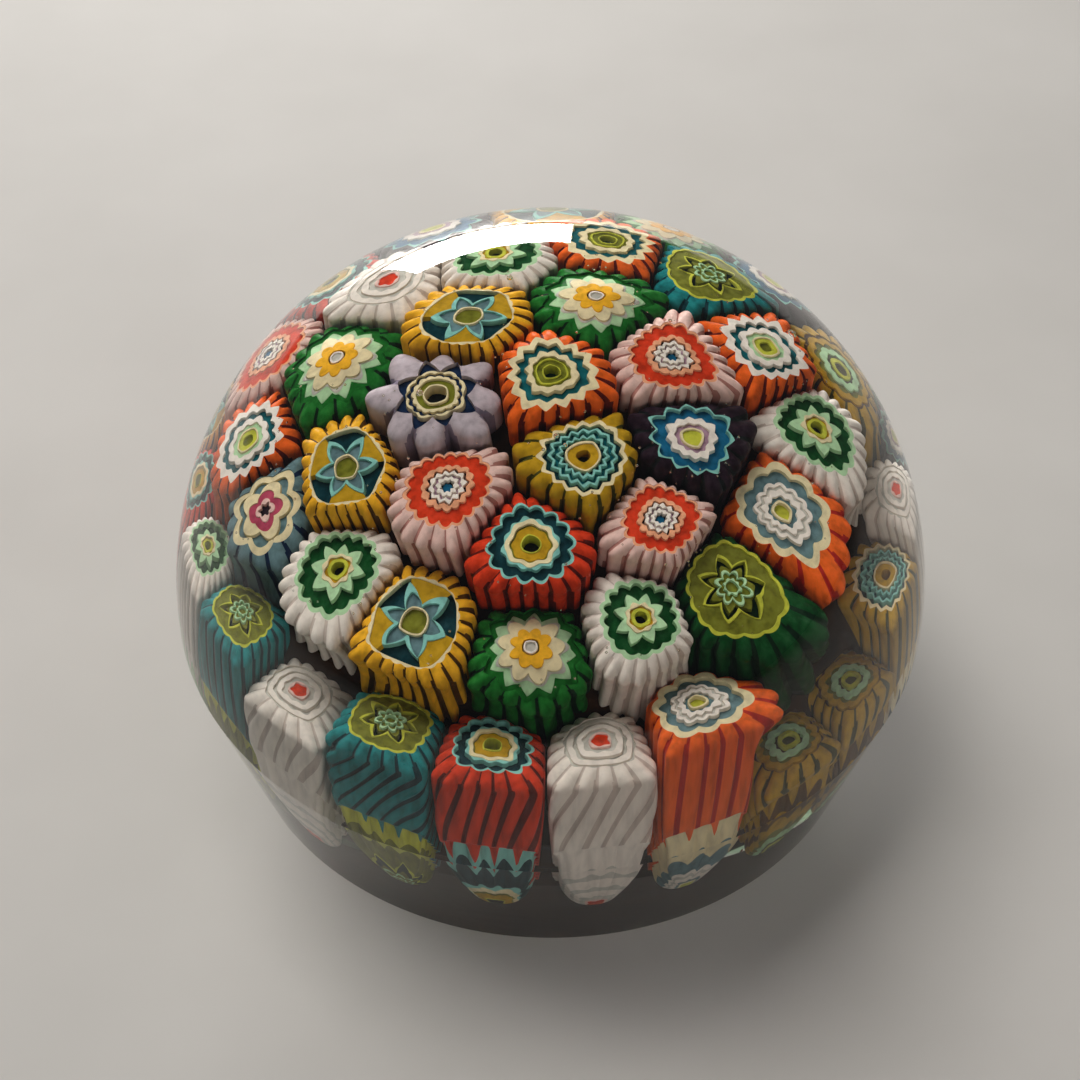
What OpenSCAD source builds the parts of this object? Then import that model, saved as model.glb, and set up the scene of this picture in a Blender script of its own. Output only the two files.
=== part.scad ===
// Close-packed millefiori glass paperweight. Millimetres, +Z up.
// The origin is the centre of the flat polished foot.
// Patterned glass canes stand side by side in a domed carpet and draw together below it. A cushion of
// dark ground glass holds them on a clear base gather, and a thick clear dome is cast over the top.

/* [Crystal] */
// Widest diameter of the clear dome
dome_d = 70; // [69:0.5:80]
// Height from the foot to the top of the dome
weight_h = 50.5; // [50:0.5:58]
// Height of the widest line above the foot
rim_h = 16.5; // [14:0.5:16.5]
// Diameter of the flat foot
foot_d = 61; // [56:0.5:64]
// Width of the bevel polished round the foot
foot_bevel = 0.8; // [0.3:0.1:1.5]

/* [Cane carpet] */
// Radius of the surface that the cane faces lie on, at its foot
carpet_r = 30.3; // [30.3:0.1:31]
// Height of that surface above its own centre
carpet_rise = 31; // [31:0.1:31.5]
// Height of the centre of the carpet above the foot
carpet_z = 14; // [14:0.1:14.5]
// How far the dark ground lies below the cane faces
ground_drop = 4; // [2:0.1:4]
// Height of the lower side of the dark ground above the foot
ground_z = 8; // [7:0.5:9]
// Radius of that lower side
ground_low_r = 21; // [20:0.5:23]

/* [Canes] */
// Diameter of a cane over its ribs, at the face
cane_d = 7.2; // [6:0.1:7.2]
// Length of the canes in the crown of the carpet
crown_l = 24; // [12:0.5:24]
// How far a crown cane leans out for each millimetre from the axis, in degrees
crown_lean = 1.15; // [1.14:0.01:1.2]
// Size of a crown cane's lower end, as a share of its face
crown_taper = 0.5; // [0.45:0.01:0.5]
// Usual length of the upright canes in the skirt
skirt_l = 20; // [14:0.5:22]
// Distance of the skirt canes from the axis
skirt_r = 28.2; // [28.2:0.1:28.5]
// Usual height of the skirt cane faces above the foot
skirt_z = 26; // [25.9:0.1:26]
// Outward lean of the skirt canes, in degrees
skirt_lean = 4; // [0:1:6]
// Size of a skirt cane's lower end, as a share of its face
skirt_taper = 0.92; // [0.85:0.01:0.95]
// Depth of the grooves between the ribs of a jacket
rib_depth = 0.35; // [0.2:0.05:0.5]
// Height of the fire-rounded edge round each face
edge_round = 0.6; // [0.3:0.1:0.9]

/* [Smoothness] */
// Segments round the crystal
round_fn = 160; // [64:8:200]
// Segments round each cane's socket
socket_fn = 32; // [24:4:48]

/* [Hidden] */
dome_r = dome_d / 2;
foot_r = foot_d / 2;
dome_rise = weight_h - rim_h;
// Degrees between the points of a dome's outline
arc_step = 3;

// Kind of cane: its name, the number of ribs on its jacket, and the colour of the jacket.
KINDS = [
    ["red_cog",       20, [0.62, 0.10, 0.06]],
    ["orange_cog",    20, [0.80, 0.25, 0.08]],
    ["orange_bloom",  20, [0.80, 0.25, 0.08]],
    ["coral_flower",  18, [0.78, 0.18, 0.07]],
    ["green_star",    18, [0.03, 0.28, 0.08]],
    ["pink_cog",      24, [0.85, 0.68, 0.66]],
    ["mint_star",     24, [0.82, 0.84, 0.76]],
    ["six_star",      24, [0.80, 0.60, 0.10]],
    ["olive_star",    20, [0.10, 0.42, 0.42]],
    ["forest_star",   20, [0.02, 0.18, 0.06]],
    ["white_dot",     18, [0.90, 0.86, 0.82]],
    ["lilac_star",     8, [0.74, 0.72, 0.80]],
    ["zigzag",        16, [0.62, 0.56, 0.14]],
    ["blue_cog",      16, [0.12, 0.08, 0.14]],
    ["rose_lobe",     14, [0.35, 0.42, 0.44]],
    ["olive_ring",    16, [0.55, 0.52, 0.14]],
];

// Crown canes, from the middle outwards: kind, then the place of the face centre.
CROWN = [
    ["orange_cog",     0.0,  -5.5],
    ["six_star",      -6.5,   1.0],
    ["green_star",     3.5,   3.0],
    ["lilac_star",    -9.0,  -6.5],
    ["pink_cog",       9.5,  -2.5],
    ["mint_star",     -4.5,   9.5],
    ["orange_cog",     4.5,  12.0],
    ["zigzag",         2.5, -12.5],
    ["blue_cog",      11.0,  -9.5],
    ["pink_cog",      -8.0, -14.0],
    ["white_dot",    -13.0,   9.0],
    ["olive_star",    12.5,  10.0],
    ["green_star",   -17.0,   1.0],
    ["orange_bloom",  17.0,   2.5],
    ["six_star",     -16.0, -10.0],
    ["pink_cog",       8.5, -16.0],
    ["red_cog",       -1.5, -18.5],
    ["green_star",     9.5,  18.5],
    ["six_star",       0.0,  20.0],
    ["blue_cog",      -9.5,  18.5],
    ["mint_star",     21.0,  -3.0],
    ["coral_flower",  18.0, -12.0],
    ["red_cog",      -17.5,  15.0],
    ["blue_cog",      17.5,  15.5],
    ["mint_star",    -16.5, -16.5],
    ["orange_bloom", -24.0,  -1.5],
    ["six_star",     -10.5, -21.5],
    ["rose_lobe",    -22.5,  -9.0],
    ["pink_cog",     -22.5,   8.0],
    ["forest_star",   14.0, -18.5],
    ["olive_ring",    23.0,   6.5],
    ["mint_star",      7.0, -22.0],
    ["green_star",    -1.5, -24.0],
];

// Skirt canes, anticlockwise from the front as seen from above: kind, compass angle from +X, and how
// much longer than the rest, and so higher, the cane is.
SKIRT = [
    ["white_dot",     -82,  0.5],
    ["coral_flower",  -66,  2.5],
    ["olive_ring",    -49, -6.0],
    ["olive_ring",    -34, -5.0],
    ["zigzag",        -19,  0.0],
    ["white_dot",      -4,  2.5],
    ["blue_cog",       12,  0.5],
    ["green_star",     28,  0.0],
    ["zigzag",         44,  0.0],
    ["white_dot",      60,  0.0],
    ["red_cog",        77,  0.0],
    ["mint_star",      94,  0.0],
    ["pink_cog",      112,  0.0],
    ["orange_cog",    129,  0.0],
    ["blue_cog",      146,  0.0],
    ["six_star",      162,  0.0],
    ["red_cog",       178,  0.0],
    ["mint_star",    -166,  0.5],
    ["olive_star",   -150,  0.5],
    ["white_dot",    -134, -2.0],
    ["olive_star",   -116,  0.0],
    ["red_cog",       -99,  0.0],
];

crown_n = len(CROWN);
skirt_n = len(SKIRT);
// Place in NODES of the first cane
first_cane = 3;

function find_kind(name) = [for (k = KINDS) if (k[0] == name) k][0];

// Height of the carpet surface at a distance from the axis.
function carpet_height(r) = carpet_z + carpet_rise * sqrt(1 - pow(r / carpet_r, 2));

// Everything that places one cane:
// [kind, face centre, compass angle, lean, length, taper].
function crown_place(i) =
    let (x = CROWN[i][1], y = CROWN[i][2], r = norm([x, y]))
    [CROWN[i][0], [x, y, carpet_height(r)], atan2(y, x), crown_lean * r, crown_l, crown_taper];
function skirt_place(i) =
    let (a = SKIRT[i][1], extra = SKIRT[i][2])
    [SKIRT[i][0], [skirt_r * cos(a), skirt_r * sin(a), skirt_z + extra],
     a, skirt_lean, skirt_l + extra, skirt_taper];
PLACES = concat(
    [for (i = [0 : crown_n - 1]) crown_place(i)],
    [for (i = [0 : skirt_n - 1]) skirt_place(i)]
);
function cane_kind(place) = find_kind(place[0]);
function face_centre(place) = place[1];
function compass(place) = place[2];
function lean(place) = place[3];
function cane_length(place) = place[4];
function taper(place) = place[5];

// Puts its children at a cane's face centre, with -Z running down the cane.
module at_face(place) {
    translate(face_centre(place))
        rotate([0, 0, compass(place)])
            rotate([0, lean(place), 0])
                children();
}

// Outline of a ribbed jacket: straight-sided ribs with a groove between each pair.
module jacket_outline(ribs) {
    cane_r = cane_d / 2;
    polygon([for (i = [0 : 2 * ribs - 1])
        let (r = i % 2 == 0 ? cane_r : cane_r - rib_depth, a = i * 180 / ribs)
        [r * cos(a), r * sin(a)]]);
}

// One cane: a ribbed rod that narrows downwards, with its top edge rounded off by the fire.
module cane(place) {
    ribs = cane_kind(place)[1];
    jacket_colour = cane_kind(place)[2];
    face_scale = 1 - edge_round / cane_d;
    color(jacket_colour)
        at_face(place)
            translate([0, 0, -edge_round]) {
                linear_extrude(height = edge_round, scale = face_scale)
                    jacket_outline(ribs);
                mirror([0, 0, 1])
                    linear_extrude(height = cane_length(place) - edge_round, scale = taper(place))
                        jacket_outline(ribs);
            }
}

// Round socket that a cane fills in the glass about it.
module socket(place) {
    at_face(place)
        translate([0, 0, -cane_length(place)])
            cylinder(h = cane_length(place), r1 = taper(place) * cane_d / 2, r2 = cane_d / 2, $fn = socket_fn);
}

module all_sockets() {
    for (place = PLACES)
        socket(place);
}

// Outline of a dome, from its widest line to its top.
function dome_arc(z, r, rise) = [for (a = [0 : arc_step : 90]) [r * cos(a), z + rise * sin(a)]];

// Cushion of the ground: domed a little below the cane faces, and drawn in towards the foot.
module cushion() {
    rotate_extrude($fn = round_fn)
        polygon(concat(
            [[0, ground_z], [ground_low_r, ground_z]],
            dome_arc(carpet_z, carpet_r - ground_drop, carpet_rise - ground_drop)
        ));
}

// Lower flank of the weight, ground to a cone from the widest line to the bevelled flat foot.
module foot() {
    rotate_extrude($fn = round_fn)
        polygon([
            [0, 0],
            [foot_r - foot_bevel, 0],
            [foot_r, foot_bevel],
            [dome_r, rim_h],
            [0, rim_h],
        ]);
}

// Clear glass under the carpet, down to the foot.
module base_gather() {
    color([0.85, 0.90, 0.88, 0.35])
        difference() {
            foot();
            cushion();
            all_sockets();
        }
}

// Dark glass between and under the canes.
module dark_ground() {
    color([0.10, 0.06, 0.03])
        difference() {
            cushion();
            all_sockets();
        }
}

// Thick clear casing over the carpet.
module crystal_dome() {
    color([0.90, 0.94, 0.93, 0.35])
        difference() {
            rotate_extrude($fn = round_fn)
                polygon(concat([[0, rim_h]], dome_arc(rim_h, dome_r, dome_rise)));
            cushion();
            all_sockets();
        }
}

crystal_dome();
base_gather();
dark_ground();
for (i = [0 : crown_n + skirt_n - 1])
    cane(PLACES[i]);
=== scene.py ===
import math
import random

import bpy
import numpy as np
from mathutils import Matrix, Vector


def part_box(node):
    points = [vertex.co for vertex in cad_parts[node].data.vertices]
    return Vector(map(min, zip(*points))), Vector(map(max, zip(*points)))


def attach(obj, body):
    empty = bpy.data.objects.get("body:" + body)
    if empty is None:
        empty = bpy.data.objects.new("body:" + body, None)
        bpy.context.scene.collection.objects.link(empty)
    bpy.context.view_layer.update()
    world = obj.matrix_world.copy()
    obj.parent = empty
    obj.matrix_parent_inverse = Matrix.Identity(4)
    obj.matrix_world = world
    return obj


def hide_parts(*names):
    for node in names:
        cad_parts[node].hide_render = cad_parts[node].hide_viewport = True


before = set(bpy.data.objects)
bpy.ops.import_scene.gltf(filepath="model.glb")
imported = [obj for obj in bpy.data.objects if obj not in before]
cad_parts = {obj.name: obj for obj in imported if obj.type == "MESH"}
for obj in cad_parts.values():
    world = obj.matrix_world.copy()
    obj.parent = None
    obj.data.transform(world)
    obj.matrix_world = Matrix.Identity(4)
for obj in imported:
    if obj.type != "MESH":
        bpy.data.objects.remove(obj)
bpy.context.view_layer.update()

MM = 0.001
SEED = 7
WHITE = (1.0, 1.0, 1.0, 1.0)
GLASS_INDEX = 1.5

# ---------------------------------------------------------------- glass colours

# Colour of each glass, and how much it varies from streak to streak.
# dark_red, red and the _shade glasses are laid only in the grooves of the jackets: darker copies of the
# rib glasses, as painted shade.
GLASSES = {
    "smoke": ((0.006, 0.009, 0.010), 0.5),
    "deep_teal": ((0.003, 0.035, 0.045), 0.5),
    "teal": ((0.004, 0.110, 0.130), 0.45),
    "bright_teal": ((0.010, 0.210, 0.215), 0.4),
    "aqua": ((0.22, 0.52, 0.46), 0.25),
    "navy": ((0.006, 0.020, 0.060), 0.5),
    "blue": ((0.006, 0.11, 0.22), 0.4),
    "blue_grey": ((0.12, 0.21, 0.23), 0.35),
    "violet_black": ((0.018, 0.009, 0.016), 0.5),
    "lilac": ((0.48, 0.42, 0.46), 0.25),
    "lilac_shade": ((0.20, 0.17, 0.23), 0.3),
    "mauve": ((0.38, 0.24, 0.32), 0.25),
    "rose": ((0.42, 0.06, 0.11), 0.3),
    "cream": ((0.76, 0.66, 0.40), 0.2),
    "white": ((0.80, 0.74, 0.66), 0.14),
    "white_shade": ((0.56, 0.48, 0.42), 0.2),
    "grey_white": ((0.54, 0.53, 0.47), 0.2),
    "peach": ((0.78, 0.36, 0.20), 0.22),
    "pink": ((0.76, 0.52, 0.46), 0.18),
    "pink_shade": ((0.42, 0.19, 0.16), 0.25),
    "mint": ((0.42, 0.66, 0.38), 0.22),
    "lime": ((0.50, 0.52, 0.05), 0.3),
    "green": ((0.012, 0.155, 0.020), 0.45),
    "dark_green": ((0.003, 0.060, 0.012), 0.5),
    "black_green": ((0.002, 0.018, 0.006), 0.5),
    "olive": ((0.16, 0.17, 0.015), 0.4),
    "dark_olive": ((0.050, 0.050, 0.006), 0.4),
    "mustard": ((0.46, 0.27, 0.010), 0.3),
    "brown": ((0.090, 0.040, 0.006), 0.4),
    "golden": ((0.82, 0.42, 0.02), 0.28),
    "orange": ((0.78, 0.12, 0.012), 0.3),
    "vermilion": ((0.60, 0.040, 0.010), 0.35),
    "red": ((0.40, 0.016, 0.010), 0.4),
    "dark_red": ((0.110, 0.010, 0.006), 0.4),
}


def new_material(name):
    """An empty node material, its tree and its output node."""
    material = bpy.data.materials.new(name)
    material.use_nodes = True
    tree = material.node_tree
    tree.nodes.clear()
    return material, tree, tree.nodes.new("ShaderNodeOutputMaterial")


def noise(tree, place, scale, detail=3.0):
    """A noise texture read at a place."""
    node = tree.nodes.new("ShaderNodeTexNoise")
    node.inputs["Scale"].default_value = scale
    node.inputs["Detail"].default_value = detail
    tree.links.new(place, node.inputs["Vector"])
    return node.outputs["Fac"]


def stretched(tree, scale=(1, 1, 1)):
    """Object coordinates stretched by a scale along each axis."""
    coordinates = tree.nodes.new("ShaderNodeTexCoord")
    mapping = tree.nodes.new("ShaderNodeMapping")
    mapping.inputs["Scale"].default_value = scale
    tree.links.new(coordinates.outputs["Object"], mapping.inputs["Vector"])
    return mapping.outputs["Vector"]


def colour_ramp(tree, fac, stops):
    """A colour ramp with (position, colour) stops."""
    node = tree.nodes.new("ShaderNodeValToRGB")
    ramp = node.color_ramp
    ramp.elements[0].position = stops[0][0]
    ramp.elements[0].color = (*stops[0][1], 1)
    ramp.elements[1].position = stops[-1][0]
    ramp.elements[1].color = (*stops[-1][1], 1)
    for position, colour in stops[1:-1]:
        ramp.elements.new(position).color = (*colour, 1)
    tree.links.new(fac, node.inputs["Fac"])
    return node.outputs["Color"]


def bump(tree, height, strength, distance):
    """A bump made from a height."""
    node = tree.nodes.new("ShaderNodeBump")
    node.inputs["Strength"].default_value = strength
    node.inputs["Distance"].default_value = distance
    tree.links.new(height, node.inputs["Height"])
    return node.outputs["Normal"]


def cane_glass(name, colour, variation):
    """Streaky drawn glass, sealed in the crystal: hardly any gloss of its own."""
    material, tree, output = new_material(name)
    shader = tree.nodes.new("ShaderNodeBsdfPrincipled")
    streaks = noise(tree, stretched(tree, (1, 1, 0.12)), scale=1400, detail=4)
    mottling = noise(tree, stretched(tree), scale=700)
    darker = tuple(c * (1 - variation) for c in colour)
    lighter = tuple(min(1.0, c * (1 + 0.6 * variation) + 0.02 * variation) for c in colour)
    tint = colour_ramp(tree, streaks, [(0.3, darker), (0.5, colour), (0.72, lighter)])
    tree.links.new(tint, shader.inputs["Base Color"])
    rough = colour_ramp(tree, mottling, [(0.3, (0.28,) * 3), (0.7, (0.5,) * 3)])
    tree.links.new(rough, shader.inputs["Roughness"])
    tree.links.new(bump(tree, streaks, strength=0.5, distance=0.00012), shader.inputs["Normal"])
    shader.inputs["IOR"].default_value = 1.16
    tree.links.new(shader.outputs["BSDF"], output.inputs["Surface"])
    return material


def clear_glass(name, index, waviness):
    """Clear glass that lets lamp light through to what is sealed in it."""
    material, tree, output = new_material(name)
    glass = tree.nodes.new("ShaderNodeBsdfGlass")
    glass.inputs["IOR"].default_value = index
    glass.inputs["Roughness"].default_value = 0.0
    glass.inputs["Color"].default_value = WHITE
    if waviness:
        ripples = noise(tree, stretched(tree), scale=60, detail=2)
        tree.links.new(bump(tree, ripples, waviness, distance=0.0006), glass.inputs["Normal"])
    clear = tree.nodes.new("ShaderNodeBsdfTransparent")
    clear.inputs["Color"].default_value = WHITE
    path = tree.nodes.new("ShaderNodeLightPath")
    mix = tree.nodes.new("ShaderNodeMixShader")
    tree.links.new(path.outputs["Is Shadow Ray"], mix.inputs["Fac"])
    tree.links.new(glass.outputs["BSDF"], mix.inputs[1])
    tree.links.new(clear.outputs["BSDF"], mix.inputs[2])
    tree.links.new(mix.outputs["Shader"], output.inputs["Surface"])
    return material


def painted_shade_ground():
    """Near-black brown glass between the canes: painted shade in the gaps between them."""
    material, tree, output = new_material("dark_ground_glass")
    shader = tree.nodes.new("ShaderNodeBsdfPrincipled")
    clouds = noise(tree, stretched(tree), scale=350, detail=4)
    tint = colour_ramp(tree, clouds, [(0.35, (0.006, 0.003, 0.002)), (0.7, (0.045, 0.018, 0.008))])
    tree.links.new(tint, shader.inputs["Base Color"])
    rough = colour_ramp(tree, clouds, [(0.3, (0.3,) * 3), (0.7, (0.6,) * 3)])
    tree.links.new(rough, shader.inputs["Roughness"])
    tree.links.new(bump(tree, clouds, strength=0.4, distance=0.0004), shader.inputs["Normal"])
    shader.inputs["IOR"].default_value = 1.1
    tree.links.new(shader.outputs["BSDF"], output.inputs["Surface"])
    return material


# ---------------------------------------------------------------- cane designs

# Layers of each kind of cane from the core outwards:
# (glass, outer edge as a share of the face, points round that edge, how far they swing in and out,
#  their shape, depth below the face in mm). Two glasses or depths in brackets take turns round the cane.
LAYERS = {
    "red_cog": [
        ("smoke", 0.18, 0, 0, "round", 1.6),
        ("lime", 0.21, 0, 0, "round", 0.1),
        ("mustard", 0.38, 8, 0.015, "wavy", 0.2),
        ("olive", 0.42, 8, 0.02, "wavy", 0.25),
        ("cream", 0.52, 8, 0.03, "wavy", 0.0),
        ("aqua", 0.58, 12, 0.03, "wavy", 0.05),
        ("deep_teal", 0.80, 14, 0.06, "scallop", 0.5),
        ("aqua", 0.87, 14, 0.06, "scallop", 0.0),
    ],
    "orange_cog": [
        ("deep_teal", 0.16, 0, 0, "round", 1.4),
        ("lime", 0.19, 0, 0, "round", 0.1),
        ("olive", 0.30, 0, 0, "round", 0.25),
        ("lime", 0.34, 0, 0, "round", 0.05),
        ("olive", 0.40, 10, 0.015, "wavy", 0.2),
        ("cream", 0.54, 12, 0.04, "star", 0.0),
        ("teal", 0.74, 14, 0.06, "star", 0.5),
        ("cream", 0.92, 14, 0.08, "star", 0.0),
    ],
    "orange_bloom": [
        ("olive", 0.13, 0, 0, "round", 0.4),
        ("lime", 0.25, 0, 0, "round", 0.15),
        ("cream", 0.29, 0, 0, "round", 0.0),
        ("mint", 0.40, 10, 0.02, "wavy", 0.25),
        ("white", 0.54, 10, 0.04, "scallop", 0.0),
        ("teal", 0.70, 14, 0.05, "scallop", 0.5),
        ("white", 0.90, 14, 0.08, "star", 0.0),
    ],
    "coral_flower": [
        ("lime", 0.15, 0, 0, "round", 0.4),
        ("cream", 0.20, 0, 0, "round", 0.0),
        ("blue_grey", 0.28, 10, 0.02, "wavy", 0.25),
        ("white", 0.40, 12, 0.04, "star", 0.0),
        ("grey_white", 0.47, 12, 0.04, "star", 0.2),
        ("white", 0.54, 12, 0.04, "scallop", 0.05),
        ("blue_grey", 0.76, 10, 0.06, "scallop", 0.4),
        ("cream", 0.92, 10, 0.07, "scallop", 0.0),
    ],
    "green_star": [
        ("grey_white", 0.10, 0, 0, "round", 0.2),
        ("white", 0.14, 0, 0, "round", 0.0),
        ("dark_olive", 0.17, 0, 0, "round", 0.3),
        ("golden", 0.38, 8, 0.06, "scallop", 0.0),
        ("cream", 0.60, 9, 0.09, "scallop", 0.1),
        ("grey_white", 0.66, 9, 0.09, "wavy", 0.3),
        ("mint", 0.78, 12, 0.10, "star", 0.35),
        ("green", 0.94, 12, 0.08, "star", 0.4),
    ],
    "pink_cog": [
        ("blue", 0.09, 0, 0, "round", 0.4),
        ("smoke", 0.13, 8, 0.02, "wavy", 0.6),
        ("white", 0.22, 10, 0.03, "star", 0.0),
        ("mauve", 0.28, 10, 0.03, "star", 0.3),
        ("white", 0.36, 12, 0.04, "star", 0.0),
        ("violet_black", 0.41, 12, 0.04, "star", 0.35),
        ("peach", 0.52, 16, 0.03, "scallop", 0.0),
        ("vermilion", 0.80, 18, 0.05, "scallop", 0.25),
        ("peach", 0.87, 18, 0.05, "scallop", 0.05),
    ],
    "mint_star": [
        ("smoke", 0.13, 0, 0, "round", 1.2),
        ("lime", 0.21, 0, 0, "round", 0.1),
        ("mustard", 0.25, 6, 0.02, "wavy", 0.2),
        ("cream", 0.32, 8, 0.03, "star", 0.0),
        ("mint", 0.48, 8, 0.11, "star", 0.1),
        ("dark_green", 0.76, 16, 0.05, "scallop", 0.6),
        ("mint", 0.87, 16, 0.04, "scallop", 0.0),
    ],
    "six_star": [
        ("olive", 0.25, 0, 0, "round", 0.35),
        ("cream", 0.29, 0, 0, "round", 0.0),
        ("blue_grey", 0.46, 6, 0.17, "star", 0.3),
        ("aqua", 0.56, 6, 0.20, "star", 0.0),
        (("mustard", "deep_teal"), 0.86, 6, 0.02, "wavy", (0.1, 0.7)),
        ("cream", 0.91, 24, 0.02, "scallop", 0.0),
    ],
    "olive_star": [
        ("olive", 0.11, 0, 0, "round", 0.3),
        ("mint", 0.15, 8, 0.02, "wavy", 0.0),
        ("olive", 0.24, 8, 0.05, "scallop", 0.25),
        ("mint", 0.29, 8, 0.06, "scallop", 0.0),
        ("olive", 0.38, 7, 0.10, "star", 0.2),
        ("black_green", 0.50, 7, 0.14, "star", 0.7),
        ("lime", 0.56, 7, 0.13, "star", 0.05),
        ("olive", 0.85, 16, 0.02, "scallop", 0.15),
        ("lime", 0.92, 16, 0.03, "scallop", 0.0),
    ],
    "white_dot": [
        ("vermilion", 0.19, 5, 0.02, "wavy", 0.1),
        ("pink", 0.25, 0, 0, "round", 0.0),
        ("grey_white", 0.38, 8, 0.02, "wavy", 0.2),
        ("white", 0.52, 0, 0, "round", 0.0),
        ("grey_white", 0.60, 10, 0.02, "wavy", 0.3),
        ("white", 0.74, 0, 0, "round", 0.05),
        ("grey_white", 0.80, 12, 0.02, "wavy", 0.2),
    ],
    "lilac_star": [
        ("smoke", 0.20, 0, 0, "round", 1.4),
        ("cream", 0.24, 0, 0, "round", 0.0),
        ("olive", 0.36, 0, 0, "round", 0.3),
        ("cream", 0.43, 16, 0.02, "scallop", 0.0),
        ("navy", 0.50, 16, 0.02, "scallop", 0.3),
        ("cream", 0.54, 8, 0.04, "scallop", 0.0),
        ("navy", 0.70, 8, 0.13, "star", 0.6),
    ],
    "zigzag": [
        ("smoke", 0.14, 0, 0, "round", 1.3),
        ("mustard", 0.32, 0, 0, "round", 0.15),
        ("cream", 0.37, 0, 0, "round", 0.0),
        ("deep_teal", 0.44, 16, 0.04, "star", 0.5),
        ("aqua", 0.51, 16, 0.05, "star", 0.0),
        ("teal", 0.62, 16, 0.05, "star", 0.5),
        ("aqua", 0.69, 16, 0.05, "star", 0.0),
        ("deep_teal", 0.80, 16, 0.05, "star", 0.5),
        ("cream", 0.90, 16, 0.06, "star", 0.0),
    ],
    "blue_cog": [
        ("lime", 0.20, 0, 0, "round", 0.15),
        ("cream", 0.25, 0, 0, "round", 0.0),
        ("mauve", 0.36, 10, 0.02, "wavy", 0.25),
        ("white", 0.52, 12, 0.04, "star", 0.0),
        ("blue", 0.78, 12, 0.06, "scallop", 0.5),
        ("aqua", 0.86, 12, 0.08, "star", 0.0),
    ],
    "rose_lobe": [
        ("violet_black", 0.14, 6, 0.03, "wavy", 0.4),
        ("pink", 0.22, 4, 0.05, "scallop", 0.0),
        ("rose", 0.40, 4, 0.08, "scallop", 0.1),
        ("cream", 0.58, 5, 0.10, "scallop", 0.0),
        ("blue_grey", 0.70, 7, 0.08, "scallop", 0.4),
        ("cream", 0.88, 7, 0.09, "scallop", 0.1),
    ],
    "olive_ring": [
        ("dark_olive", 0.16, 0, 0, "round", 0.3),
        ("lime", 0.26, 0, 0, "round", 0.0),
        ("dark_olive", 0.34, 10, 0.02, "wavy", 0.3),
        ("mint", 0.50, 10, 0.03, "scallop", 0.0),
        ("olive", 0.62, 12, 0.04, "scallop", 0.25),
        ("mustard", 0.78, 12, 0.04, "scallop", 0.05),
        ("brown", 0.86, 12, 0.04, "scallop", 0.3),
    ],
}
LAYERS["forest_star"] = LAYERS["olive_star"]

# Jacket of each kind of cane: (glass of the ribs, glass of the grooves painted darker as their shade,
# ribs, how deep the grooves are as a share of the radius, how far the face domes up in mm).
JACKETS = {
    "red_cog": ("vermilion", "dark_red", 20, 0.09, 0.3),
    "orange_cog": ("orange", "dark_red", 20, 0.10, 0.3),
    "orange_bloom": ("orange", "dark_red", 20, 0.12, 0.3),
    "coral_flower": ("orange", "red", 18, 0.09, 0.4),
    "green_star": ("green", "black_green", 18, 0.10, 1.4),
    "pink_cog": ("pink", "pink_shade", 24, 0.10, 0.4),
    "mint_star": ("white", "white_shade", 24, 0.09, 0.4),
    "six_star": ("golden", "brown", 24, 0.10, 0.3),
    "olive_star": ("bright_teal", "deep_teal", 20, 0.10, 0.5),
    "forest_star": ("dark_green", "black_green", 20, 0.10, 0.5),
    "white_dot": ("white", "white_shade", 18, 0.08, 0.6),
    "lilac_star": ("lilac", "lilac_shade", 8, 0.30, 0.3),
    "zigzag": ("mustard", "dark_olive", 16, 0.12, 0.4),
    "blue_cog": ("violet_black", "smoke", 16, 0.08, 0.4),
    "rose_lobe": ("blue_grey", "navy", 14, 0.10, 0.5),
    "olive_ring": ("mustard", "dark_olive", 16, 0.11, 0.5),
}

# How far the ribs of the front canes lean to the left on their way down, in turns.
RIB_LEAN = {
    "skirt_cane_1_white_dot": 0.09,
    "skirt_cane_2_coral_flower": 0.02,
    "skirt_cane_20_white_dot": 0.06,
    "skirt_cane_21_olive_star": 0.16,
    "skirt_cane_22_red_cog": 0.05,
    "crown_cane_30_forest_star": -0.14,
}


def wave(shape, turns):
    """Outline of the points round a layer: 1 at the tips, on whole turns, and -1 in the valleys."""
    if shape == "star":
        return np.abs(2 * (turns % 1.0) - 1) * 2 - 1
    if shape == "scallop":
        return 2 * np.abs(np.cos(np.pi * turns)) - 1
    return np.cos(2 * np.pi * turns)


# ---------------------------------------------------------------- cane shapes

AROUND = 192            # points round a cane
GAP = 0.12              # between neighbouring canes, in mm
CORNER_ANGLE = math.radians(38)

# Cells, in mm
FREE_R = 9.5            # radius of a cane with no neighbour
OUTER_R = 4.6           # how far a skirt cane reaches outwards
INNER_R = 3.5           # how far its lower end reaches inwards
INNER_SPREAD = 5.0      # how much further than that its face reaches inwards
NEARBY = 3 * FREE_R     # distance beyond which another cane is no neighbour
LEAST_FACING = 0.1      # cosine of the angle beyond which a neighbour doesn't squeeze
SQUEEZE = 12            # how sharply a crown cane's outline follows its neighbours
SKIRT_SQUEEZE = 8       # how sharply a skirt cane's outline does

# How much a cane crowds its neighbours, in square mm
CROWN_SWELL = 9
SWELL = {"crown_cane_30_forest_star": 4, "crown_cane_4_lilac_star": 8}

# A cane that lies over lower neighbours, and how far it spreads there, in mm
LIES_OVER = {"crown_cane_30_forest_star": ("skirt_cane_3_olive_ring", "skirt_cane_4_olive_ring")}
SPRAWL_R = 12.5
SPRAWL_OUTER_R = 8.0    # how far it reaches outwards
OVER = 2.0              # how far above a neighbour's face it has to be

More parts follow.
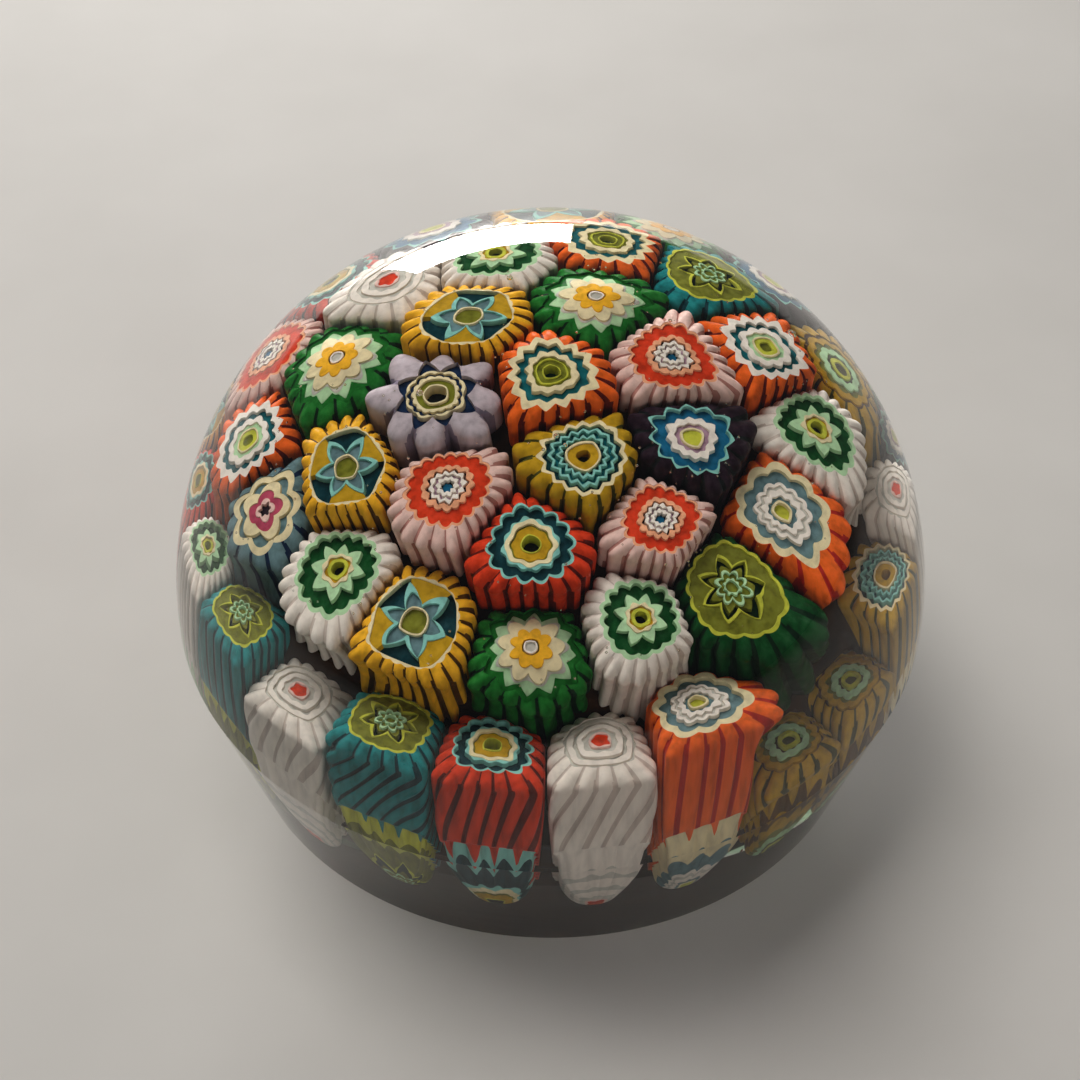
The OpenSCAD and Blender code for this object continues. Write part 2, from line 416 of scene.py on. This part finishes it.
# Patterned face
FACE_DEPTH = 0.5        # depth at which the outline of the face is taken, in mm
FACE_SHARE = 0.80       # radius of the face as a share of the cane's
FACE_ROUNDNESS = 0.6    # 0 gives the face the outline of its cell, 1 a circle
WALL = 0.02             # width of the steep wall between two layers, as a share of the face
SQUASH = 0.05           # how far a face is out of round, as a share of the face
POINT_SHIFT = 0.05      # how unevenly the points of a layer are spaced
SWING_CHANGE = 0.35     # how unequal the points of a layer are
EDGE_ROUGHNESS = 0.006  # small unevenness of each layer's edge, as a share of the face

# Jacket
SHOULDER_STEPS = (0.1, 0.22, 0.36, 0.52, 0.70, 0.86, 1.0)
SHOULDER_DROP = 1.4     # how far the jacket falls from the face to its widest line, in mm
SHOULDER_CURVE = 1.3    # 1 makes the fall of the shoulder straight, more makes it rounder
SHOULDER_SPREAD = 1.2   # how much sooner than its lowest point the shoulder is at its widest
SIDE_STEPS = 12
GROOVE_SAG = 0.3        # how much lower the shoulder runs in a groove, in mm
RIB_SHIFT = 0.008       # how unevenly the ribs are spaced, in turns
STRAY_LEAN = 0.03       # how far the ribs may lean where RIB_LEAN doesn't say, in turns
# Painted shade: the dark groove glass covers more of each jacket further down the shoulder, and on crown
# canes more again towards the lower end, as the shade between the canes.
TOP_SHADE = 0.25        # share of the jacket that is dark groove at the rim of the face
SIDE_SHADE = 0.45       # the same at its widest line
DEEP_SHADE = 0.95       # the same at the lower end of a crown cane

# Lower end
END_TAPER = 0.10        # how much narrower than its cell a cane's lower end is, as a share
END_RISE = 3.5          # how far above its length the inner edge of a skirt cane's lower end is, in mm
END_LIFT = 8.5          # how much higher than that the outer edge is, in mm
TAIL = 7.0              # how far the middle of that end hangs down, in mm
TAIL_SHARE = 0.90       # width of the hanging part as a share of the cane's
TAIL_ROUNDING = 0.6     # 1 gives the tail a pointed bottom, 0.5 a round one


class Cane:
    """Where a CAD cane stands: face centre, its own axes and length, in mm."""

    def __init__(self, node):
        points = np.array([v.co[:] for v in node.data.vertices]) / MM
        middle = points.mean(axis=0)
        up = np.linalg.svd(points - middle, full_matrices=False)[2][0]
        self.up = up * np.sign(up[2])
        along = (points - middle) @ self.up
        self.face = middle + self.up * along.max()
        self.length = along.max() - along.min()
        outward = np.array([self.face[0], self.face[1], 0.0])
        side = np.cross(self.up, outward)
        self.side = side / np.linalg.norm(side)
        self.out = np.cross(self.side, self.up)
        self.name = node.name
        self.kind = node.name.split("_", 3)[3]
        self.skirt = node.name.startswith("skirt")
        self.swell = SWELL.get(node.name, 0) + (0 if self.skirt else CROWN_SWELL)

    def centre(self, depth):
        """The middle of the cane at a depth below its face."""
        return self.face - self.up * depth


def cell_radius(cane, canes, depth, angles, sprawls=True):
    """How far a cane reaches in each direction at a depth, squeezed by its neighbours."""
    centre = cane.centre(depth)
    squeeze = SKIRT_SQUEEZE if cane.skirt else SQUEEZE
    lies_over = LIES_OVER.get(cane.name, ()) if sprawls else ()
    total = np.full(len(angles), (SPRAWL_R if lies_over else FREE_R) ** -squeeze)
    if lies_over:
        total += (np.maximum(np.cos(angles), 0) / SPRAWL_OUTER_R) ** squeeze
    if cane.skirt:
        inner_r = INNER_R + INNER_SPREAD * (1 - depth / cane.length)
        total += (np.maximum(np.cos(angles), 0) / OUTER_R) ** SKIRT_SQUEEZE
        total += (np.maximum(-np.cos(angles), 0) / inner_r) ** SKIRT_SQUEEZE
    for other in canes:
        along = np.clip((other.face - centre) @ other.up, 0, other.length)
        apart = other.centre(along) - centre
        if other is cane or np.linalg.norm(apart) > NEARBY:
            continue
        if other.name in lies_over and (centre - other.face) @ other.up > OVER:
            continue
        x, y = apart @ cane.out, apart @ cane.side
        flat = math.hypot(x, y)
        facing = np.cos(angles - math.atan2(y, x))
        reach = (apart @ apart + cane.swell - other.swell) / (2 * flat) - GAP / 2
        pressure = (np.maximum(facing, LEAST_FACING) / reach) ** squeeze
        total += np.where(facing > LEAST_FACING, pressure, 0)
    return total ** (-1 / squeeze)


def wobble(rng, angles, size):
    """A slow unevenness round a cane."""
    total = np.zeros(len(angles))
    for turns in (1, 2, 3, 5):
        total += size / turns * rng.uniform(-1, 1) * np.cos(turns * angles + rng.uniform(0, 6.28))
    return total


def layer_edges(kind, angles, start, rng):
    """Outer edge of each layer round the cane, as a share of the face."""
    squash = wobble(rng, angles, SQUASH)
    edges = []
    inner = 0
    for glass, edge, points, swing, shape, depth in LAYERS[kind]:
        shift = wobble(rng, angles, POINT_SHIFT / max(points, 4))
        turns = points * (angles / (2 * np.pi) + start + shift)
        height = 1 + wobble(rng, angles, SWING_CHANGE)
        outline = edge + swing * height * wave(shape, turns) + squash * edge
        inner = np.maximum(outline + wobble(rng, angles, EDGE_ROUGHNESS), inner + WALL)
        edges.append(inner)
    return edges


def in_turns(value, points, angles, start):
    """A value for each point round the cane. A pair of values take turns between the points."""
    if not isinstance(value, tuple):
        return [value] * len(angles)
    return [value[int(points * (a / (2 * np.pi) + start)) % 2] for a in angles]


class Skin:
    """Rings of points laid from the core over the face and down the side, with a glass for each band."""

    def __init__(self):
        self.rings = []
        self.bands = []

    def add(self, radius, height, glass, turn=0.0):
        """A ring turned round the cane, and the glass of the band between it and the ring before."""
        self.rings.append((radius, height, turn))
        self.bands.append(glass)


class Jacket:
    """The ribbed glass round a cane: how its ribs stand and lean, and which glass shows where, the dark
    groove glass being painted shade.
    """

    def __init__(self, cane, angles, rng):
        self.ridge, self.furrow, ribs, self.groove, _ = JACKETS[cane.kind]
        phase = angles / (2 * np.pi) + wobble(rng, angles, RIB_SHIFT)
        self.rib = np.abs(np.cos(np.pi * ribs * phase))
        stray = rng.uniform(-STRAY_LEAN, STRAY_LEAN)
        self.lean = 2 * math.pi * RIB_LEAN.get(cane.name, stray)

    def grooved(self, reach):
        """A cane's reach with the grooves cut into it."""
        return reach * (1 - self.groove * (1 - self.rib))

    def glass(self, shade):
        """Glass of each point: the grooves, and more of the ribs as the shade grows, take the dark glass
        as painted shade.
        """
        return [self.ridge if r > shade else self.furrow for r in self.rib]


def lay_face(skin, face_r, dome, edges, depths, glasses):
    """The patterned face from the core outwards: each layer a terrace with a steep wall at its edge."""

    def lay(share, depth, glass):
        skin.add(face_r * share, -depth - dome * share ** 2, glass)

    lay(edges[0], depths[0], glasses[0])
    for k in range(1, len(glasses)):
        foot = edges[k - 1] + WALL / 2
        inner_is_higher = depths[k - 1] < depths[k]
        wall = [a if higher else b for a, b, higher in zip(glasses[k - 1], glasses[k], inner_is_higher)]
        lay(foot, depths[k], wall)
        if k < len(edges):
            lay((foot + edges[k]) / 2, depths[k], glasses[k])
            lay(edges[k], depths[k], glasses[k])


def lay_shoulder(skin, cane, canes, angles, jacket):
    """The rounded top of the jacket, from the rim of the face to the cane's widest line."""
    rim_r, rim_h, _ = skin.rings[-1]
    for s in SHOULDER_STEPS:
        reach = jacket.grooved(cell_radius(cane, canes, FACE_DEPTH + SHOULDER_DROP * s, angles))
        radius = rim_r + (reach - rim_r) * math.sin(min(SHOULDER_SPREAD * s, 1) * math.pi / 2)
        sag = GROOVE_SAG * (1 - jacket.rib) * math.sin(s * math.pi)
        # painted shade: more dark groove glass further down the shoulder
        shade = TOP_SHADE + (SIDE_SHADE - TOP_SHADE) * s
        skin.add(radius, rim_h - SHOULDER_DROP * s ** SHOULDER_CURVE - sag, jacket.glass(shade))


def lay_side(skin, cane, canes, angles, jacket):
    """The ribbed side, which turns with the lean of its ribs on its way down."""
    side_top = skin.rings[-1][1]
    top_depth = FACE_DEPTH + SHOULDER_DROP
    for n in range(1, SIDE_STEPS + 1):
        t = n / SIDE_STEPS
        turn = -jacket.lean * t
        depth = top_depth + t * (cane.length - top_depth)
        reach = jacket.grooved(cell_radius(cane, canes, depth, angles + turn)) * (1 - END_TAPER * t ** 3)
        end = end_height(cane, reach * np.cos(angles + turn))
        # painted shade: crown canes take more dark glass towards their lower ends
        shade = SIDE_SHADE if cane.skirt else SIDE_SHADE + (DEEP_SHADE - SIDE_SHADE) * t
        skin.add(reach, side_top + t * (end - side_top), jacket.glass(shade), turn)


def lay_end(skin, cane, angles, edges, glasses):
    """The lower end: the layers of the face again, from the jacket in to the core."""
    end_r, _, turn = skin.rings[-1]
    outer = np.ones(len(angles))
    for edge, glass in zip(reversed(edges), reversed(glasses)):
        for share in ((outer + edge) / 2, edge):
            radius = end_r * share
            height = end_height(cane, radius * np.cos(angles + turn)) - tail_length(cane, share)
            skin.add(radius, height, glass, turn)
        outer = edge


def cane_skin(cane, canes, angles, rng):
    """All the rings of one cane, in its own frame, with radius and height in mm, and its core glass."""
    layers = LAYERS[cane.kind]
    ridge, *_, dome = JACKETS[cane.kind]
    top = cell_radius(cane, canes, FACE_DEPTH, angles, sprawls=False)
    face_r = FACE_SHARE * (FACE_ROUNDNESS * top.mean() + (1 - FACE_ROUNDNESS) * top)
    start = rng.uniform(0, 1)
    edges = layer_edges(cane.kind, angles, start, rng)
    depths = [np.array(in_turns(layer[5], layer[2], angles, start)) for layer in layers]
    glasses = [in_turns(layer[0], layer[2], angles, start) for layer in layers]
    depths.append(np.zeros(len(angles)))
    glasses.append([ridge] * len(angles))
    jacket = Jacket(cane, angles, rng)
    skin = Skin()
    lay_face(skin, face_r, dome, edges, depths, glasses)
    lay_shoulder(skin, cane, canes, angles, jacket)
    lay_side(skin, cane, canes, angles, jacket)
    lay_end(skin, cane, angles, edges, glasses)
    return skin, glasses[0][0]


def end_height(cane, out):
    """Height of a cane's lower end. The ends of the skirt canes slope up towards their outer side."""
    if not cane.skirt:
        return np.full(len(out), -cane.length)
    across = np.clip((out + INNER_R) / (OUTER_R + INNER_R), 0, 1)
    return -cane.length + END_RISE + END_LIFT * across


def tail_length(cane, share):
    """How far a skirt cane's drawn-in tail hangs below its end, from the rim of the end to its core."""
    if not cane.skirt:
        return 0
    across = np.minimum(share / TAIL_SHARE, 1)
    return TAIL * (1 - across ** 2) ** TAIL_ROUNDING


def cane_points(cane, skin, angles):
    """Where the points of a cane's rings are, ring after ring, in mm."""
    points = []
    for radius, height, turn in skin.rings:
        x = radius * np.cos(angles + turn)
        y = radius * np.sin(angles + turn)
        across = np.outer(x, cane.out) + np.outer(y, cane.side)
        points.append(cane.face + across + np.outer(height, cane.up))
    return np.concatenate(points)


def cane_faces(skin, core):
    """Faces of a cane, closed over its core at both ends, each with its glass."""
    last = (len(skin.rings) - 1) * AROUND
    faces = [(tuple(range(AROUND)), core)]
    for k in range(1, len(skin.rings)):
        a, b = (k - 1) * AROUND, k * AROUND
        for i, glass in enumerate(skin.bands[k]):
            j = (i + 1) % AROUND
            faces.append(((a + i, b + i, b + j, a + j), glass))
    faces.append((tuple(last + i for i in reversed(range(AROUND))), core))
    return faces


def cane_object(cane, canes, materials):
    """One cane with all its layers, as a mesh."""
    rng = random.Random(f"{SEED} {cane.name}")
    angles = np.linspace(0, 2 * np.pi, AROUND, endpoint=False)
    skin, core = cane_skin(cane, canes, angles, rng)
    faces = cane_faces(skin, core)
    names = sorted({glass for _, glass in faces})
    mesh = bpy.data.meshes.new(cane.name + "_layers")
    mesh.from_pydata((cane_points(cane, skin, angles) * MM).tolist(), [], [face for face, _ in faces])
    for glass in names:
        mesh.materials.append(materials[glass])
    mesh.polygons.foreach_set("material_index", [names.index(glass) for _, glass in faces])
    mesh.shade_smooth()
    mesh.set_sharp_from_angle(angle=CORNER_ANGLE)
    obj = bpy.data.objects.new(cane.name + "_layers", mesh)
    bpy.context.collection.objects.link(obj)
    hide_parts(cane.name)
    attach(obj, "root")


# ---------------------------------------------------------------- crystal

FOOT_R = 30.5           # radius of the foot, in mm
FOOT_BEVEL = 0.8        # width of the bevel round it, in mm
DOME_STEPS = 60         # points up the dome
CRYSTAL_AROUND = 192    # points round the crystal
CREASE = math.radians(8)


def crystal_outline():
    """Outline of the weight from the middle of the foot to the top of the dome, in metres."""
    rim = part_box("crystal_dome")[0][2]
    dome_r, _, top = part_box("crystal_dome")[1]
    outline = [(0, 0), ((FOOT_R - FOOT_BEVEL) * MM, 0), (FOOT_R * MM, FOOT_BEVEL * MM), (dome_r, rim)]
    for i in range(1, DOME_STEPS):
        a = math.radians(90 * i / DOME_STEPS)
        outline.append((dome_r * math.cos(a), rim + (top - rim) * math.sin(a)))
    outline.append((0, top))
    return outline


def revolved(name, outline, around):
    """A closed mesh turned round the axis."""
    points = [(0, 0, outline[0][1])]
    for r, z in outline[1:-1]:
        for i in range(around):
            a = 2 * math.pi * i / around
            points.append((r * math.cos(a), r * math.sin(a), z))
    points.append((0, 0, outline[-1][1]))
    rows = len(outline) - 2
    last = len(points) - 1
    faces = []
    for i in range(around):
        j = (i + 1) % around
        faces.append((0, 1 + j, 1 + i))
        for k in range(rows - 1):
            a, b = 1 + k * around, 1 + (k + 1) * around
            faces.append((a + i, a + j, b + j, b + i))
        top = 1 + (rows - 1) * around
        faces.append((top + i, top + j, last))
    mesh = bpy.data.meshes.new(name)
    mesh.from_pydata(points, [], faces)
    mesh.shade_smooth()
    mesh.set_sharp_from_angle(angle=CREASE)
    obj = bpy.data.objects.new(name, mesh)
    bpy.context.collection.objects.link(obj)
    return obj


def crystal(material):
    """The clear glass, dome and base gather fused into one."""
    obj = revolved("crystal", crystal_outline(), CRYSTAL_AROUND)
    obj.data.materials.append(material)
    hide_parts("crystal_dome", "base_gather")
    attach(obj, "root")


# Air bubbles in the crystal: centre and diameter, in mm.
BUBBLES = [
    (-3.4, 4.2, 46.2, 0.55),
    (-10.4, -7.0, 43.8, 0.60),
    (16.5, 17.5, 38.0, 0.80),
    (19.5, 5.5, 38.6, 0.90),
    (9.5, 0.5, 44.8, 0.35),
    (0.4, -11.6, 43.4, 0.45),
    (1.1, -12.2, 43.0, 0.35),
    (-0.6, -12.6, 42.9, 0.30),
]
BUBBLE_DETAIL = (10, 16)  # rows of faces on a bubble, and faces round it

# Specks of air caught over the edges of the faces: how many, and the least and most of each size in mm.
FINE_BUBBLES = 260
FINE_R = (0.06, 0.13)     # radius of a speck
FINE_REACH = (3.0, 4.6)   # its distance from the middle of the face
FINE_LIFT = (0.1, 0.6)    # its height over the face
FINE_DETAIL = (4, 6)


def ball(centre, radius, rows, around):
    """Points and faces of a ball."""
    points = [(centre[0], centre[1], centre[2] - radius)]
    for k in range(1, rows):
        tilt = math.pi * (k / rows - 0.5)
        for i in range(around):
            a = 2 * math.pi * i / around
            points.append((centre[0] + radius * math.cos(tilt) * math.cos(a),
                           centre[1] + radius * math.cos(tilt) * math.sin(a),
                           centre[2] + radius * math.sin(tilt)))
    points.append((centre[0], centre[1], centre[2] + radius))
    last = len(points) - 1
    faces = []
    for i in range(around):
        j = (i + 1) % around
        faces.append((0, 1 + j, 1 + i))
        faces.append((last - around + i, last - around + j, last))
        for k in range(rows - 2):
            a, b = 1 + k * around, 1 + (k + 1) * around
            faces.append((a + i, a + j, b + j, b + i))
    return points, faces


def bubbles(canes, material):
    """All the air in the crystal: a few round bubbles, and specks caught over the edges of the faces."""
    rng = random.Random(SEED)
    crown = [cane for cane in canes if not cane.skirt]
    balls = [(place, size / 2, *BUBBLE_DETAIL) for *place, size in BUBBLES]
    for _ in range(FINE_BUBBLES):
        cane = rng.choice(crown)
        a = rng.uniform(0, 2 * math.pi)
        across = (cane.out * math.cos(a) + cane.side * math.sin(a)) * rng.uniform(*FINE_REACH)
        place = cane.face + across + cane.up * rng.uniform(*FINE_LIFT)
        balls.append((place, rng.uniform(*FINE_R), *FINE_DETAIL))
    points, faces = [], []
    for ball_shape in balls:
        more, more_faces = ball(*ball_shape)
        faces += [tuple(len(points) + v for v in face) for face in more_faces]
        points += more
    mesh = bpy.data.meshes.new("air_bubbles")
    mesh.from_pydata((np.array(points) * MM).tolist(), [], faces)
    mesh.materials.append(material)
    mesh.shade_smooth()
    obj = bpy.data.objects.new("air_bubbles", mesh)
    bpy.context.collection.objects.link(obj)
    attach(obj, "root")


# ---------------------------------------------------------------- camera and light

CAMERA_LENS = 73.6                  # focal length on a 36 mm wide sensor, in mm
CAMERA_PLACE = (0, -146.9, 165.5)   # in mm
CAMERA_AIM = (-1.0, 2.8, 18.2)      # in mm

# Soft lights: name, place and size in metres, power in watts, colour, and whether the glass mirrors it.
PANELS = [
    ("window", (-0.10, 0.60, 0.10), (0.26, 0.16), 3, (1.0, 0.98, 0.95), True),
    ("overhead", (-0.20, 0.20, 0.60), (0.4, 0.4), 2.8, (1.0, 0.97, 0.93), False),
    ("front", (0.25, -0.6, 0.25), (0.4, 0.3), 0.7, (1.0, 0.94, 0.88), False),
]
LIT_POINT = (0, 0, 0.02)
SKY = (0.80, 0.84, 0.90, 1)
SKY_STRENGTH = 0.10
FLOOR_DROP = 0.0001     # in metres


def camera():
    """The photograph's view: 46 degrees above the table."""
    data = bpy.data.cameras.new("camera")
    data.lens = CAMERA_LENS
    data.sensor_width = 36
    obj = bpy.data.objects.new("camera", data)
    bpy.context.collection.objects.link(obj)
    obj.location = Vector(CAMERA_PLACE) * MM
    aim = Vector(CAMERA_AIM) * MM
    obj.rotation_euler = (aim - obj.location).to_track_quat("-Z", "Y").to_euler()
    bpy.context.scene.camera = obj


def soft_panel(name, place, size, power, colour, mirrored):
    """A rectangular soft light, not seen through the glass."""
    data = bpy.data.lights.new(name, "AREA")
    data.shape = "RECTANGLE"
    data.size, data.size_y = size
    data.energy = power
    data.color = colour
    obj = bpy.data.objects.new(name, data)
    bpy.context.collection.objects.link(obj)
    obj.location = place
    obj.rotation_euler = (Vector(LIT_POINT) - Vector(place)).to_track_quat("-Z", "Y").to_euler()
    obj.visible_transmission = False
    obj.visible_glossy = mirrored


def floor():
    """A plain pale floor, a hair below the foot so that the foot stays a mirror from inside."""
    bpy.ops.mesh.primitive_plane_add(size=3, location=(0, 0, -FLOOR_DROP))
    obj = bpy.context.object
    obj.name = "floor"
    material, tree, output = new_material("floor_paper")
    shader = tree.nodes.new("ShaderNodeBsdfPrincipled")
    clouds = noise(tree, stretched(tree), scale=40)
    tint = colour_ramp(tree, clouds, [(0.3, (0.62, 0.60, 0.57)), (0.7, (0.66, 0.64, 0.61))])
    tree.links.new(tint, shader.inputs["Base Color"])
    shader.inputs["Roughness"].default_value = 0.7
    tree.links.new(shader.outputs["BSDF"], output.inputs["Surface"])
    obj.data.materials.append(material)


def light():
    """Soft studio light: a window behind, a broad panel overhead and a weak fill from the front."""
    for panel in PANELS:
        soft_panel(*panel)
    world = bpy.data.worlds.new("world")
    bpy.context.scene.world = world
    world.use_nodes = True
    background = world.node_tree.nodes["Background"]
    background.inputs["Color"].default_value = SKY
    background.inputs["Strength"].default_value = SKY_STRENGTH
    bpy.context.scene.view_settings.view_transform = "Standard"


# ---------------------------------------------------------------- build

def build():
    materials = {name: cane_glass(name, *look) for name, look in GLASSES.items()}
    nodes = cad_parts
    canes = [Cane(obj) for name, obj in nodes.items() if "_cane_" in name]
    for cane in canes:
        cane_object(cane, canes, materials)
    crystal(clear_glass("crystal_glass", GLASS_INDEX, waviness=0.03))
    bubbles(canes, clear_glass("trapped_air", 1 / GLASS_INDEX, waviness=0))
    # dark_ground: a dark sheet between the canes, painted shade where the gaps lie in shadow
    ground = nodes["dark_ground"]
    ground.data.materials.clear()
    ground.data.materials.append(painted_shade_ground())
    floor()
    light()
    camera()


build()
